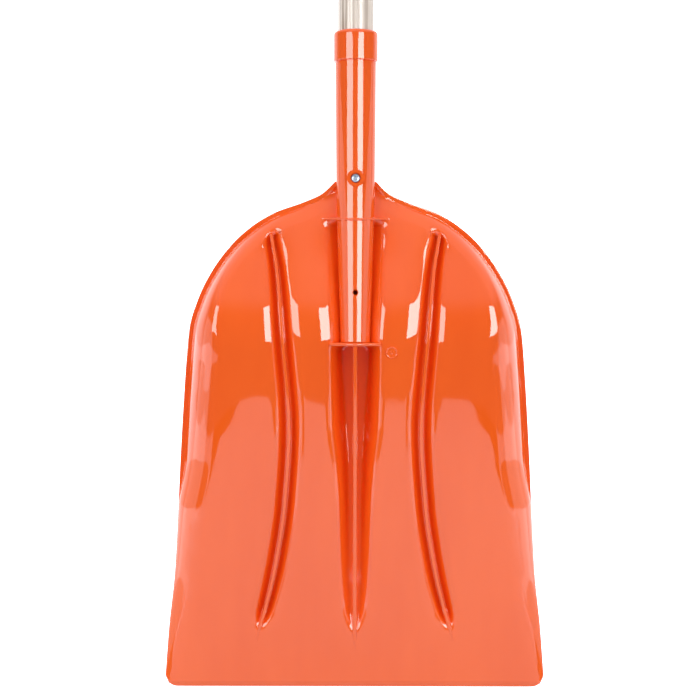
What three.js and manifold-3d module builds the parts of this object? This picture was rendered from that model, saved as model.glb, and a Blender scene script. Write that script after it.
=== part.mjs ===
// Snow shovel: a one-piece moulded scoop blade with a socket, an ash handle and one wood screw.
// Millimetres, +Z up the handle. The back of the blade faces -Y, the hollow faces +Y, and the
// origin is the middle of the leading edge's bottom face.
import * as THREE from 'three';
import Module from 'manifold-3d';
import { mergeVertices } from 'three/addons/utils/BufferGeometryUtils.js';

const wasm = await Module();
wasm.setup();

// Blade
const WALL = 3.2; // thickness of the moulded sheet
const NECK_Z = 512; // where the shoulders run into the socket
const CORNER_RADIUS = 12;
const HEEL_START_Z = 339; // the floor is flat below this
const HEEL_END_Z = 396; // and a straight incline above this
const HEEL_ANGLE = THREE.MathUtils.degToRad(17);
const RIM_CURVE = 1.6;
const RIM_DEPTH = 48; // how far the rim stands in front of the floor
const RIM_PEAK_Z = 440;
const NECK_DROP = 9.5; // how much the rim comes back down to the neck
const FLANGE = 6.3; // width of the lip around the rim
const WALL_RUN_SIDE = 28; // width of the side wall's sweep
const WALL_RUN_SHOULDER = 13;
const WALL_STEEPEST = THREE.MathUtils.degToRad(78);
const WALL_MOST_OF_HALF = 0.75;
const LIP_WIDTH = 1.2;
const SHOULDER_DROOP = 0.1;

// Half-width of the outline, stated as [z, half-width].
const OUTLINE = [
  [CORNER_RADIUS, 192.3], [60, 189], [117, 183.3], [240, 177.8], [320, 173.2], [362, 169.5], [392, 160.5],
  [420, 146.5], [446, 127.3], [466, 105.5], [480, 82.5], [490, 54.5], [499, 34.5], [NECK_Z, 20.5],
];

// Central channel: half-width, and depth below the socket.
const CHANNEL_WIDTH = [
  [54, 4], [66, 10], [80, 14.5], [100, 17], [126, 18.5], [186, 20], [226, 23], [271, 27.5], [349, 28],
  [400, 32], [468, 36], [NECK_Z, 34],
];
const CHANNEL_DEPTH = [
  [56, 0], [66, 2.5], [80, 5], [126, 8.5], [186, 12.5], [226, 17], [271, 22.5], [310, 25], [349, 25],
];
const CHANNEL_FLOOR_SHARE = [
  [60, 0.3], [226, 0.3], [271, 0.35], [342, 0.5], [353, 0.12], [NECK_Z, 0.05],
];
const CHANNEL_TOP_Z = 466;
const CHANNEL_FADE = 9;

// Crown of the lands beside the grooves, and the dish of the sides.
const LAND_CROWN = { groove: 1.6, channel: 1.6, run: 18, from: 296, full: 348, fade: 430, end: 470 };
const SIDE_DISH = { depth: 4.5, from: 100, run: 70, full: 300, end: 420 };

// Side grooves, each with a thin rib standing in it.
const GROOVE_CENTRE = [[50, 99.4], [87, 89], [127, 79.9], [188, 71], [262, 66.8], [355, 73.4], [420, 79], [462, 86]];
const GROOVE_WIDTH = [[60, 7], [78, 11], [126, 13], [280, 13.6], [386, 12], [462, 10]];
const GROOVE_RUN_OUT = { bottom: 22, top: 12 };
const GROOVE_DEPTH = 9;
const GROOVE_FLOOR_SHARE = 0.25;
const GROOVE_BOTTOM_Z = 58;
const GROOVE_TOP_Z = 464;
const GROOVE_TOP_SLANT = 0.6;

// Ribs
const RIB_PROUD = 1;
const ROOT = 1.3; // how far the ribs run on into the sheet
const CENTRE_RIB = { thickness: 3.5, from: 38, to: 349 };
const SIDE_RIB = { thickness: 3, from: 47, to: 459 };
const UPPER_FIN = { z: 474.5, thickness: 2.6, reach: 35, ring: 12 };
const RIB_RUN_OUT = 18;
const LOWER_FIN = { z: 349, thickness: 3.6, reach: 26, ring: 8 };

// Socket
const SOCKET_LEAN = THREE.MathUtils.degToRad(8.5);
const SOCKET_END = { y: 11.6, z: 349 }; // centre of the socket's closed lower end
const SOCKET_RADIUS = [[0, 15.2], [166, 19.7], [288, 20.8]];
const SOCKET_CLOSED_END = 6;
const COLLAR = { radius: 22.4, length: 31, rounding: 3.5 };
const SOCKET_LENGTH = 318;
const SOCKET_FACETS = 32;
const GAP = 0.3;

// Handle
const HANDLE_RADIUS = 18.25;
const HANDLE_LENGTH = 1200;
const HANDLE_END_RADIUS = 14;
const HANDLE_SCREW_RADIUS = 16.8;
const HANDLE_START = 58; // distance of the handle's hidden end from the socket's closed end
const HANDLE_DOME = 9;

// Screw, its boss and the spare screw hole below it
const SCREW_AT = 166; // distance from the socket's closed end
const SPARE_HOLE = { at: 50.5, radius: 2.25 };
const BOSS = { radius: 8.8, proud: 0.8 };
const COUNTERBORE = { radius: 5.3, depth: 2.7 };
const SCREW_HEAD = { radius: 4.4, height: 2.3 };
const CROWN = { radius: 0.72, top: 0.85, side: 0.35 };
const SCREW_LENGTH = 26;
const SCREW_RADIUS = 2.2;
const THREAD_DEPTH = 0.6;
const THREAD_PITCH = 2;
const PILOT_END = 10; // how far past the socket's axis the pilot hole runs
const RECESS = { width: 1.1, length: 4.8, depth: 1.5 };
const GATE_MARK = { x: 36.8, z: 341, radius: 6, height: 0.7 };

const smooth = THREE.MathUtils.smoothstep;
const lerp = THREE.MathUtils.lerp;

// Value at z of a smooth curve through [z, value] stations, without overshoot between them.
function along(stations, z) {
  const last = stations.length - 1;
  if (z <= stations[0][0]) return stations[0][1];
  if (z >= stations[last][0]) return stations[last][1];
  const slope = (k) => (stations[k + 1][1] - stations[k][1]) / (stations[k + 1][0] - stations[k][0]);
  const tangent = (k) => {
    if (k === 0) return slope(0);
    if (k === last) return slope(last - 1);
    const before = slope(k - 1);
    const after = slope(k);
    return before * after > 0 ? (2 * before * after) / (before + after) : 0;
  };
  const k = stations.findIndex((station) => z < station[0]) - 1;
  const span = stations[k + 1][0] - stations[k][0];
  const t = (z - stations[k][0]) / span;
  const rise = stations[k + 1][1] - stations[k][1];
  const ease = t * t * (3 - 2 * t);
  const start = t * (1 - t) * (1 - t) * span * tangent(k);
  const end = t * t * (t - 1) * span * tangent(k + 1);
  return stations[k][1] + ease * rise + start + end;
}

// Middle of the sheet's floor: flat, then bent, then a straight incline.
function floorY(z) {
  if (z <= HEEL_START_Z) return 0;
  const radius = (HEEL_END_Z - HEEL_START_Z) / Math.sin(HEEL_ANGLE);
  if (z >= HEEL_END_Z) return radius * (1 - Math.cos(HEEL_ANGLE)) + (z - HEEL_END_Z) * Math.tan(HEEL_ANGLE);
  return radius - Math.sqrt(radius ** 2 - (z - HEEL_START_Z) ** 2);
}

function rimY(z) {
  const rise = 1 - (1 - Math.min(z, RIM_PEAK_Z) / RIM_PEAK_Z) ** RIM_CURVE;
  return RIM_DEPTH * rise - NECK_DROP * smooth(z, RIM_PEAK_Z, NECK_Z);
}

const flangeWidth = (z) => FLANGE * smooth(z, 165, 235) * (1 - 0.5 * smooth(z, 485, NECK_Z));
const wallRun = (z) => lerp(WALL_RUN_SIDE, WALL_RUN_SHOULDER, smooth(z, 330, 430));
const socketRadius = (distance) => along(SOCKET_RADIUS, distance);
const socketDistance = (z) => (z - SOCKET_END.z) / Math.cos(SOCKET_LEAN);
const socketY = (z) => SOCKET_END.y + (z - SOCKET_END.z) * Math.tan(SOCKET_LEAN);

function channelDepth(x, z) {
  const width = along(CHANNEL_WIDTH, z);
  const share = along(CHANNEL_FLOOR_SHARE, z);
  const seat = socketY(z) + socketRadius(socketDistance(z)) - 1 - floorY(z);
  const depth = z < SOCKET_END.z ? along(CHANNEL_DEPTH, z) : seat;
  const fade = 1 - smooth(z, CHANNEL_TOP_Z, CHANNEL_TOP_Z + CHANNEL_FADE);
  return depth * fade * (1 - smooth(Math.abs(x) / width, share, 1));
}

function grooveDepth(x, z) {
  const offset = (Math.abs(x) - along(GROOVE_CENTRE, z)) / along(GROOVE_WIDTH, z);
  if (Math.abs(offset) >= 1) return 0;
  const top = GROOVE_TOP_Z - GROOVE_TOP_SLANT * offset * along(GROOVE_WIDTH, z);
  const rise = smooth(z, GROOVE_BOTTOM_Z, GROOVE_BOTTOM_Z + GROOVE_RUN_OUT.bottom);
  const ends = rise * (1 - smooth(z, top - GROOVE_RUN_OUT.top, top));
  return GROOVE_DEPTH * ends * (1 - smooth(Math.abs(offset), GROOVE_FLOOR_SHARE, 1));
}

// The lands beside each groove are crowned: how far they drop from their crests to the groove
// on one side and the channel on the other.
function landDrop(x, z) {
  const channel = along(CHANNEL_WIDTH, z);
  const inner = along(GROOVE_CENTRE, z) - along(GROOVE_WIDTH, z);
  const outer = along(GROOVE_CENTRE, z) + along(GROOVE_WIDTH, z);
  const across = Math.abs(x);
  const { groove, run, from, full, fade, end } = LAND_CROWN;
  const share = smooth(z, from, full) * (1 - smooth(z, fade, end));
  if (across > outer) return groove * share * Math.max(0, 1 - (across - outer) / run) ** 2;
  if (across >= inner) return groove * share;
  if (across <= channel) return LAND_CROWN.channel * share * (across / channel) ** 2;
  const side = 2 * (across - channel) / (inner - channel) - 1;
  return (side < 0 ? LAND_CROWN.channel : groove) * share * side ** 2;
}

// The sides of the floor are dished, more so higher up.
function sideDish(x, z) {
  const out = Math.max(0, Math.abs(x) - SIDE_DISH.from) / SIDE_DISH.run;
  const rise = (Math.min(z, SIDE_DISH.full) / SIDE_DISH.full) ** 2;
  return SIDE_DISH.depth * out ** 2 * rise * (1 - smooth(z, SIDE_DISH.full, SIDE_DISH.end));
}

// Middle of the sheet away from the side walls.
function panelY(x, z) {
  return floorY(z) + channelDepth(x, z) + grooveDepth(x, z) + landDrop(x, z) + sideDish(x, z);
}

// How far the bottom corner's arc lies above the bottom edge at x.
function cornerLift(x) {
  const into = THREE.MathUtils.clamp(x - along(OUTLINE, 0) + CORNER_RADIUS, 0, CORNER_RADIUS);
  return CORNER_RADIUS - Math.sqrt(CORNER_RADIUS ** 2 - into ** 2);
}

// Columns are numbered from the centre line outwards. Those of the panel follow the channel and
// the groove, and even out towards the neck. The wall's follow its sweep, and the last is the lip.
const PANEL_COLUMNS = [
  ['channel', 0], ['channel', 0.28], ['channel', 0.55], ['channel', 0.78], ['channel', 1],
  ['land', 0.5], ['groove', -1], ['groove', -0.5], ['groove', 0], ['groove', 0.5], ['groove', 1],
  ['foot', 1],
];
const SWEEP_COLUMNS = [0.3, 0.55, 0.78, 1];
const LAST_PANEL = PANEL_COLUMNS.length - 1;
const LAST_COLUMN = LAST_PANEL + SWEEP_COLUMNS.length + 1;
const ROWS = [
  0, 12, 30, 48, 58, 68, 78, 90, 105, 120, 140, 160, 180, 200, 222, 245, 268, 290, 312, 330, 341, 352,
  366, 380, 394, 408, 422, 434, 446, 456, 465, 473, 480, 486, 492, 499, 506, NECK_Z,
];

function panelX(column, z, foot) {
  const [feature, share] = PANEL_COLUMNS[column];
  const channel = along(CHANNEL_WIDTH, z);
  const centre = along(GROOVE_CENTRE, z);
  const width = along(GROOVE_WIDTH, z);
  const x = {
    channel: channel * share,
    land: lerp(channel, centre - width, share),
    groove: centre + share * width,
    foot,
  }[feature];
  return lerp(x, (column / LAST_PANEL) * foot, smooth(z, 415, 450));
}

// A point of the sheet's middle surface. Each row leaves the rim at one height, square to the
// outline, and then runs level to the centre line. The first row is the leading edge.
function sheetPoint(row, column) {
  const z = ROWS[row];
  const slope = row < 2 ? 0 : along(OUTLINE, z + 0.5) - along(OUTLINE, z - 0.5);
  const inward = new THREE.Vector2(-1, slope).normalize();
  const cornerMiddle = CORNER_RADIUS * (1 - Math.SQRT1_2);
  const half = along(OUTLINE, z) - (row === 0 ? cornerMiddle : 0);
  const flange = flangeWidth(z);
  const run = Math.min(wallRun(z), WALL_MOST_OF_HALF * half - flange);
  const offset = (distance) => new THREE.Vector2(half + inward.x * distance, z + inward.y * distance);
  const foot = offset(flange + run);
  if (column > LAST_COLUMN - 2) {
    const rim = offset(column === LAST_COLUMN ? 0 : Math.max(flange, LIP_WIDTH));
    return new THREE.Vector3(rim.x, rimY(z), row === 0 ? cornerLift(rim.x) : rim.y);
  }
  if (column > LAST_PANEL) {
    const tilt = WALL_STEEPEST * SWEEP_COLUMNS[column - LAST_PANEL - 1];
    const at = offset(flange + run * (1 - Math.sin(tilt) / Math.sin(WALL_STEEPEST)));
    const rise = (1 - Math.cos(tilt)) / (1 - Math.cos(WALL_STEEPEST));
    const y = lerp(panelY(at.x, at.y), rimY(z), rise);
    return new THREE.Vector3(at.x, y, row === 0 ? cornerLift(at.x) : at.y);
  }
  const x = panelX(column, foot.y, foot.x);
  const inner = foot.y + SHOULDER_DROOP * (foot.x - x) * smooth(z, 400, 450);
  return new THREE.Vector3(x, panelY(x, inner), inner);
}

// The outward normal of the back, from the neighbouring points of the grid.
function sheetNormal(row, column) {
  const left = sheetPoint(row, Math.max(0, column - 1));
  const right = sheetPoint(row, Math.min(LAST_COLUMN, column + 1));
  const below = sheetPoint(Math.max(0, row - 1), column);
  const above = sheetPoint(Math.min(ROWS.length - 1, row + 1), column);
  const normal = right.sub(left).cross(above.sub(below)).normalize();
  if (row === 0) normal.setZ(0).normalize();
  if (column === 0) normal.setX(0).normalize();
  return normal;
}

// The moulded sheet: a box grid whose two big faces lie half the wall's thickness to either side of
// the middle surface.
function sheetGeometry() {
  const geometry = new THREE.BoxGeometry(2, 1, 1, 2 * LAST_COLUMN, ROWS.length - 1, 1);
  const position = geometry.attributes.position;
  for (let i = 0; i < position.count; i += 1) {
    const signed = Math.round(position.getX(i) * LAST_COLUMN);
    const column = Math.abs(signed);
    const row = Math.round((position.getY(i) + 0.5) * (ROWS.length - 1));
    const side = Math.sign(position.getZ(i));
    const point = sheetPoint(row, column).addScaledVector(sheetNormal(row, column), 0.5 * side * WALL);
    position.setXYZ(i, signed < 0 ? -point.x : point.x, point.y, point.z);
  }
  return geometry;
}

// A thin wall standing in the sheet along a line x(z), from its crest back into the sheet.
function ribGeometry(rib, lineX) {
  const steps = 16;
  const geometry = new THREE.BoxGeometry(rib.thickness, 1, 1, 1, steps, 1);
  const position = geometry.attributes.position;
  for (let i = 0; i < position.count; i += 1) {
    const z = lerp(rib.from, rib.to, position.getY(i) + 0.5);
    const x = lineX(z);
    const taper = smooth(z, rib.from, rib.from + RIB_RUN_OUT);
    const crest = floorY(z) - WALL / 2 - RIB_PROUD * taper + 0.6 * (1 - taper);
    const root = Math.max(panelY(x, z) + ROOT, crest + 1);
    position.setXYZ(i, x + position.getX(i), position.getZ(i) > 0 ? crest : root, z);
  }
  return geometry;
}

// A level fin across the channel, whose front edge runs from the sheet over the socket as a ring.
function finGeometry(fin) {
  const steps = 20;
  const geometry = new THREE.BoxGeometry(2 * fin.reach, fin.thickness, 1, steps, 1, 1);
  const position = geometry.attributes.position;
  const ring = socketRadius(socketDistance(fin.z)) + RIB_PROUD;
  const overSocket = (x) => socketY(fin.z) - Math.sqrt(ring ** 2 - x ** 2);
  const edge = floorY(fin.z) - WALL / 2 + 0.4;
  for (let i = 0; i < position.count; i += 1) {
    const x = position.getX(i);
    const out = (Math.abs(x) - fin.ring) / (fin.reach - fin.ring);
    const front = out <= 0 ? overSocket(x) : lerp(overSocket(fin.ring), edge, out);
    const root = Math.max(panelY(x, fin.z) + ROOT, front + 1);
    position.setXYZ(i, x, position.getZ(i) > 0 ? front : root, fin.z + position.getY(i));
  }
  return geometry;
}

// A solid of revolution about +Z, from [radius, distance] points.
function turned(profile, facets = SOCKET_FACETS) {
  const points = profile.map(([radius, distance]) => new THREE.Vector2(radius, distance));
  return new THREE.LatheGeometry(points, facets).rotateX(Math.PI / 2);
}

// Moves a geometry made around +Z from the origin onto the socket's axis.
function onSocket(geometry) {
  return geometry.rotateX(-SOCKET_LEAN).translate(0, SOCKET_END.y, SOCKET_END.z);
}

// A cylinder square to the socket's axis, between two distances from it: negative is the back.
function crossing(radius, distance, from, to, facets) {
  const geometry = new THREE.CylinderGeometry(radius, radius, to - from, facets);
  return onSocket(geometry.translate(0, (from + to) / 2, distance));
}

function arc(radius, centre, from, to, steps) {
  return Array.from({ length: steps + 1 }, (unused, k) => {
    const angle = lerp(from, to, k / steps);
    return [centre[0] + radius * Math.cos(angle), centre[1] + radius * Math.sin(angle)];
  });
}

function socketProfile() {
  const step = SOCKET_LENGTH - COLLAR.length;
  const { radius, rounding } = COLLAR;
  const top = [radius - rounding, SOCKET_LENGTH - rounding];
  return [
    [0, 0],
    ...SOCKET_RADIUS.map(([distance, r]) => [r, distance]),
    [radius, step],
    ...arc(rounding, top, 0, Math.PI / 2, 4),
    [0, SOCKET_LENGTH],
  ];
}

// The part of the handle inside the socket, from its tapered end to the socket's mouth.
function handleSeat(clearance) {
  return [
    [HANDLE_END_RADIUS - 2 + clearance, HANDLE_START - clearance],
    [HANDLE_END_RADIUS + clearance, HANDLE_START + 2],
    [HANDLE_SCREW_RADIUS + clearance, SCREW_AT],
    [HANDLE_RADIUS + clearance, SOCKET_LENGTH - 12],
  ];
}

function handleProfile() {
  const end = HANDLE_START + HANDLE_LENGTH;
  const domed = (HANDLE_RADIUS ** 2 + HANDLE_DOME ** 2) / (2 * HANDLE_DOME);
  const sweep = Math.asin(HANDLE_RADIUS / domed);
  const dome = arc(domed, [0, end - domed], Math.PI / 2 - sweep, Math.PI / 2, 5);
  return [[0, HANDLE_START], ...handleSeat(0), ...dome.slice(0, -1), [0, end]];
}

function boreProfile() {
  const end = socketRadius(0) - 3;
  const seat = handleSeat(GAP);
  const mouth = SOCKET_LENGTH + 20;
  return [
    [0, SOCKET_CLOSED_END], [end, SOCKET_CLOSED_END], ...seat.slice(1),
    [seat.at(-1)[0], mouth], [0, mouth],
  ];
}

function manifoldOf(geometry) {
  const bare = geometry.clone();
  bare.deleteAttribute('normal');
  bare.deleteAttribute('uv');
  const merged = mergeVertices(bare, 1e-3);
  const vertProperties = new Float32Array(merged.attributes.position.array);
  const triVerts = new Uint32Array(merged.index.array);
  return new wasm.Manifold(new wasm.Mesh({ numProp: 3, vertProperties, triVerts }));
}

function geometryOf(solid) {
  const { vertProperties, triVerts } = solid.getMesh();
  const geometry = new THREE.BufferGeometry();
  geometry.setAttribute('position', new THREE.BufferAttribute(vertProperties, 3));
  geometry.setIndex(new THREE.BufferAttribute(triVerts, 1));
  geometry.computeVertexNormals();
  return geometry;
}

function gateGeometry() {
  const depth = 3;
  const face = floorY(GATE_MARK.z) - WALL / 2 - GATE_MARK.height;
  const disc = new THREE.CylinderGeometry(GATE_MARK.radius, GATE_MARK.radius, depth, 20);
  return disc.translate(GATE_MARK.x, face + depth / 2, GATE_MARK.z);
}

function bladeGeometry() {
  const bossFace = -socketRadius(SCREW_AT) - BOSS.proud;
  const outside = bossFace - 5;
  const grooveLine = (z) => along(GROOVE_CENTRE, z);
  const added = [
    onSocket(turned(socketProfile())),
    ribGeometry(CENTRE_RIB, () => 0),
    ribGeometry(SIDE_RIB, grooveLine),
    ribGeometry(SIDE_RIB, (z) => -grooveLine(z)),
    finGeometry(UPPER_FIN),
    finGeometry(LOWER_FIN),
    crossing(BOSS.radius, SCREW_AT, bossFace, 0, 28),
    gateGeometry(),
  ];
  const removed = [
    onSocket(turned(boreProfile())),
    crossing(COUNTERBORE.radius, SCREW_AT, outside, bossFace + COUNTERBORE.depth, 24),
    crossing(SCREW_RADIUS + GAP, SCREW_AT, outside, 0, 16),
    crossing(SPARE_HOLE.radius, SPARE_HOLE.at, outside, 0, 16),
  ];
  let solid = manifoldOf(sheetGeometry());
  for (const geometry of added) solid = solid.add(manifoldOf(geometry));
  for (const geometry of removed) solid = solid.subtract(manifoldOf(geometry));
  return geometryOf(solid);
}

function handleGeometry() {
  const pilot = crossing(SCREW_RADIUS + GAP, SCREW_AT, -2 * HANDLE_RADIUS, PILOT_END, 16);
  return geometryOf(manifoldOf(onSocket(turned(handleProfile()))).subtract(manifoldOf(pilot)));
}

// The screw, with its head's underside at the origin and its point along +Z.
function screwGeometry() {
  const { radius, height } = SCREW_HEAD;
  const core = SCREW_RADIUS - THREAD_DEPTH;
  const crown = [[0, -height], [CROWN.radius * radius, -CROWN.top * height], [radius, -CROWN.side * height]];
  const profile = [...crown, [radius, 0], [core, 0]];
  const turns = Math.floor((SCREW_LENGTH - 4) / THREAD_PITCH);
  for (let k = 1; k <= turns; k += 1) {
    const crest = THREAD_PITCH * k;
    profile.push([core, crest - THREAD_PITCH / 2], [SCREW_RADIUS, crest]);
  }
  profile.push([core, THREAD_PITCH * (turns + 0.5)], [0, SCREW_LENGTH]);
  let solid = manifoldOf(turned(profile, 20));
  for (const turn of [0, Math.PI / 2]) {
    const slot = new THREE.BoxGeometry(RECESS.length, RECESS.width, 2 * RECESS.depth).rotateZ(turn);
    solid = solid.subtract(manifoldOf(slot.translate(0, 0, -height)));
  }
  return geometryOf(solid);
}

const orangePlastic = new THREE.MeshStandardMaterial({ color: 0xf06220, roughness: 0.2, metalness: 0 });
const ashWood = new THREE.MeshStandardMaterial({ color: 0xe2c49c, roughness: 0.6, metalness: 0 });
const zincPlate = new THREE.MeshStandardMaterial({ color: 0xb9c4cf, roughness: 0.3, metalness: 1 });

const blade = new THREE.Mesh(bladeGeometry(), orangePlastic);
blade.name = 'blade';

const handle = new THREE.Mesh(handleGeometry(), ashWood);
handle.name = 'handle';

// The screw sits square to the socket's axis, its head on the floor of the counterbore.
const screw = new THREE.Mesh(screwGeometry(), zincPlate);
screw.name = 'socket_screw';
screw.position.set(0, COUNTERBORE.depth - BOSS.proud - socketRadius(SCREW_AT) - GAP, SCREW_AT);
screw.rotation.x = -Math.PI / 2;
const socketFrame = new THREE.Group();
socketFrame.position.set(0, SOCKET_END.y, SOCKET_END.z);
socketFrame.rotation.x = -SOCKET_LEAN;
socketFrame.add(screw);

const shovel = new THREE.Group();
shovel.add(blade, handle, socketFrame);

export default shovel;
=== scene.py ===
# Snow shovel: the moulded scoop blade, the ash handle and the socket screw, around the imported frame.
import math

import bmesh
import bpy
from bpy.props import FloatProperty, FloatVectorProperty, IntProperty, PointerProperty
from mathutils import Matrix, Vector


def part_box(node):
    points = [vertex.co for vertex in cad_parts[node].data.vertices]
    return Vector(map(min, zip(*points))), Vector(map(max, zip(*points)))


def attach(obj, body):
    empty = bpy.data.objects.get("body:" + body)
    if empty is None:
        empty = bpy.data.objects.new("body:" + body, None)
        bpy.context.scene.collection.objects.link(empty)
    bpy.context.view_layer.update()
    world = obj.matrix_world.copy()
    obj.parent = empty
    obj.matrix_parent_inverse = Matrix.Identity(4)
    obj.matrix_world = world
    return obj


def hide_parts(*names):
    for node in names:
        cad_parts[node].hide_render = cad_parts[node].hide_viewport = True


bl_info = {
    "name": "Snow Shovel",
    "version": (1, 0, 0),
    "blender": (4, 5, 0),
    "location": "View3D > Sidebar > Shovel",
    "description": "Moulded snow scoop with a ribbed back, an ash handle and a socket screw",
    "category": "Object",
}

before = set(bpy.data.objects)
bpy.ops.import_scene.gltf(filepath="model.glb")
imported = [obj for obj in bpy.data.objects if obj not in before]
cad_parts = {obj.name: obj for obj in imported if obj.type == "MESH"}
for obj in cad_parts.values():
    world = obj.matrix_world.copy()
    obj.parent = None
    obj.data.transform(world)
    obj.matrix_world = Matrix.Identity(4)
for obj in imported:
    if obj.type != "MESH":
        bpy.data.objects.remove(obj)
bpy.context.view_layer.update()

# The blade's outline and sheet, in metres; heights are measured from the leading edge.
WALL = 0.0032
HALF_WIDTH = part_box("blade")[1][0]
NECK_Z = 0.512
CORNER_RADIUS = 0.012
HEEL_START = 0.339
HEEL_END = 0.396
HEEL_ANGLE = math.radians(17)
EDGE_BEVEL_HEIGHT = 0.005
EDGE_BEVEL_DEPTH = 0.0012
RIM_DEPTH = 0.048
RIM_PEAK = 0.440
RIM_CURVE = 1.6
NECK_DROP = 0.0095
FLANGE = 0.0063
SIDE_RUN = 0.028
SHOULDER_RUN = 0.013
WALL_STEEPEST = math.radians(78)

# Half-width at a height, and the channel, the grooves and their ribs, as (height, value) stations.
OUTLINE = [
    (0.012, HALF_WIDTH), (0.060, 0.189), (0.117, 0.1833), (0.240, 0.1778), (0.320, 0.1732),
    (0.362, 0.1695), (0.392, 0.1605), (0.420, 0.1465), (0.446, 0.1273), (0.466, 0.1055),
    (0.480, 0.0825), (0.490, 0.0545), (0.499, 0.0345), (NECK_Z, 0.0205),
]
CHANNEL_WIDTH = [
    (0.054, 0.004), (0.066, 0.010), (0.080, 0.0145), (0.100, 0.017), (0.126, 0.0185), (0.186, 0.020),
    (0.226, 0.023), (0.271, 0.0275), (0.349, 0.028), (0.400, 0.032), (0.468, 0.036), (NECK_Z, 0.034),
]
CHANNEL_DEPTH = [
    (0.056, 0.0), (0.066, 0.0025), (0.080, 0.005), (0.126, 0.0085), (0.186, 0.0125), (0.226, 0.017),
    (0.271, 0.0225), (0.310, 0.025), (0.349, 0.025),
]
CHANNEL_FLOOR = [
    (0.060, 0.3), (0.226, 0.3), (0.271, 0.35), (0.342, 0.5), (0.353, 0.12), (NECK_Z, 0.05),
]
CHANNEL_TOP = 0.466
CHANNEL_FADE = 0.009
GROOVE_CENTRE = [
    (0.050, 0.0994), (0.087, 0.089), (0.127, 0.0799), (0.188, 0.071), (0.262, 0.0668),
    (0.355, 0.0734), (0.420, 0.079), (0.462, 0.086),
]
GROOVE_WIDTH = [
    (0.060, 0.007), (0.078, 0.011), (0.126, 0.013), (0.280, 0.0136), (0.386, 0.012), (0.462, 0.010),
]
GROOVE_RUN_OUT = (0.022, 0.012)
GROOVE_DEPTH = 0.009
GROOVE_BOTTOM = 0.058
GROOVE_TOP = 0.464
GROOVE_SLANT = 0.6
GROOVE_FLOOR = 0.25
CENTRE_RIB = (0.038, 0.349)
SIDE_RIB = (0.047, 0.459)
UPPER_FIN = 0.4745
LOWER_FIN = 0.349

# The lands beside the grooves are crowned, and the sides of the floor are dished.
LAND_DROP = 0.0016
LAND_RUN = 0.018
LAND_STARTS = (0.296, 0.348)
LAND_ENDS = (0.430, 0.470)
DISH_DEPTH = 0.0045
DISH_FROM = 0.100
DISH_RUN = 0.070
DISH_FULL = 0.300
DISH_END = 0.420

# The socket's axis starts in the middle of its closed end and leans away from the back.
SOCKET_LEAN = math.radians(8.5)
SOCKET_FOOT = Vector((0.0, 0.0116, 0.349))
SOCKET_RADIUS = [(0.0, 0.0152), (0.166, 0.0197), (0.288, 0.0208)]
SOCKET_LENGTH = 0.318
COLLAR_RADIUS = 0.0224
COLLAR_LENGTH = 0.031
HANDLE_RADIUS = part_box("handle")[1][0]
HANDLE_SEAT = [(0.060, 0.014), (0.166, 0.0168), (0.308, HANDLE_RADIUS)]
HANDLE_START = 0.058
HANDLE_DOME = 0.009
HANDLE_LENGTH = 1.200
SCREW_AT = 0.166
SPARE_HOLE_AT = 0.0505
BOSS_RADIUS = 0.0088
BOSS_PROUD = 0.0008
SOCKET_FRAME = Matrix.Translation(SOCKET_FOOT) @ Matrix.Rotation(-SOCKET_LEAN, 4, "X")


def lerp(a, b, t):
    return a + (b - a) * t


def smooth(value, low, high):
    t = min(1.0, max(0.0, (value - low) / (high - low)))
    return t * t * (3 - 2 * t)


def along(stations, z):
    """Value at z of a smooth curve through (z, value) stations, without overshoot."""
    if z <= stations[0][0]:
        return stations[0][1]
    if z >= stations[-1][0]:
        return stations[-1][1]
    last = len(stations) - 1

    def slope(k):
        return (stations[k + 1][1] - stations[k][1]) / (stations[k + 1][0] - stations[k][0])

    def tangent(k):
        if k == 0:
            return slope(0)
        if k == last:
            return slope(last - 1)
        before, after = slope(k - 1), slope(k)
        return 2 * before * after / (before + after) if before * after > 0 else 0.0

    k = next(i for i in range(last) if z < stations[i + 1][0])
    span = stations[k + 1][0] - stations[k][0]
    t = (z - stations[k][0]) / span
    value = lerp(stations[k][1], stations[k + 1][1], t * t * (3 - 2 * t))
    value += t * (1 - t) ** 2 * span * tangent(k)
    return value + t * t * (t - 1) * span * tangent(k + 1)


def floor_y(z):
    """Middle of the sheet's floor: flat, then bent, then a straight incline."""
    if z <= HEEL_START:
        return 0.0
    radius = (HEEL_END - HEEL_START) / math.sin(HEEL_ANGLE)
    if z >= HEEL_END:
        return radius * (1 - math.cos(HEEL_ANGLE)) + (z - HEEL_END) * math.tan(HEEL_ANGLE)
    return radius - math.sqrt(radius ** 2 - (z - HEEL_START) ** 2)


def rim_y(z):
    rise = 1 - (1 - min(z, RIM_PEAK) / RIM_PEAK) ** RIM_CURVE
    return RIM_DEPTH * rise - NECK_DROP * smooth(z, RIM_PEAK, NECK_Z)


def flange_width(z):
    return FLANGE * smooth(z, 0.165, 0.235) * (1 - 0.5 * smooth(z, 0.485, NECK_Z))


def wall_run(z):
    return lerp(SIDE_RUN, SHOULDER_RUN, smooth(z, 0.330, 0.430))


def socket_distance(z):
    return (z - SOCKET_FOOT.z) / math.cos(SOCKET_LEAN)


def socket_y(z):
    return SOCKET_FOOT.y + (z - SOCKET_FOOT.z) * math.tan(SOCKET_LEAN)


def channel_depth(x, z):
    width = along(CHANNEL_WIDTH, z)
    seat = socket_y(z) + along(SOCKET_RADIUS, socket_distance(z)) - 0.001 - floor_y(z)
    depth = along(CHANNEL_DEPTH, z) if z < SOCKET_FOOT.z else seat
    fade = 1 - smooth(z, CHANNEL_TOP, CHANNEL_TOP + CHANNEL_FADE)
    return depth * fade * (1 - smooth(abs(x) / width, along(CHANNEL_FLOOR, z), 1.0))


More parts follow.
